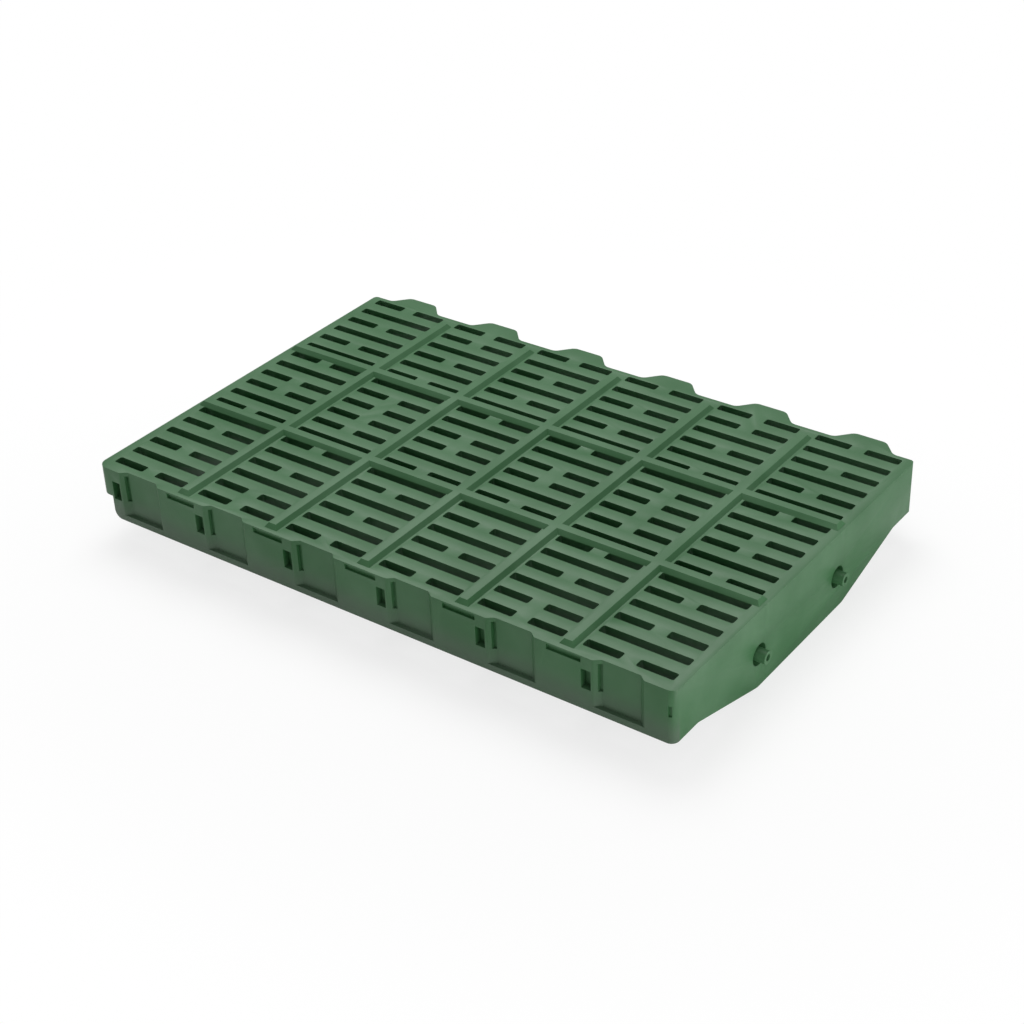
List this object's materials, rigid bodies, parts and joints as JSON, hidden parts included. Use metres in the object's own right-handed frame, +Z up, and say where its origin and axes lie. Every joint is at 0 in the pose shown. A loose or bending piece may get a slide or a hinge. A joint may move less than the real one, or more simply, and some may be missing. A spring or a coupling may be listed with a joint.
{
  "type": "plastic slatted floor panel",
  "caption": "Moulded plastic slatted floor panel for pens, with slotted tread, raised bars, interlocking tabs and bays, and deep bearing ribs below.",
  "frame": {"origin": "middle of the underside of the panel's bounding box", "axes": "+Z up out of the tread, +X along the long side towards the smooth end with the spigots, +Y across the panel towards the side with the tabs"},
  "size_m": [0.614, 0.4066, 0.079],
  "materials": {
    "plastic": "satin"
  },
  "bodies": {
    "root": {"slat_panel": "plastic"}
  },
  "joints": []
}
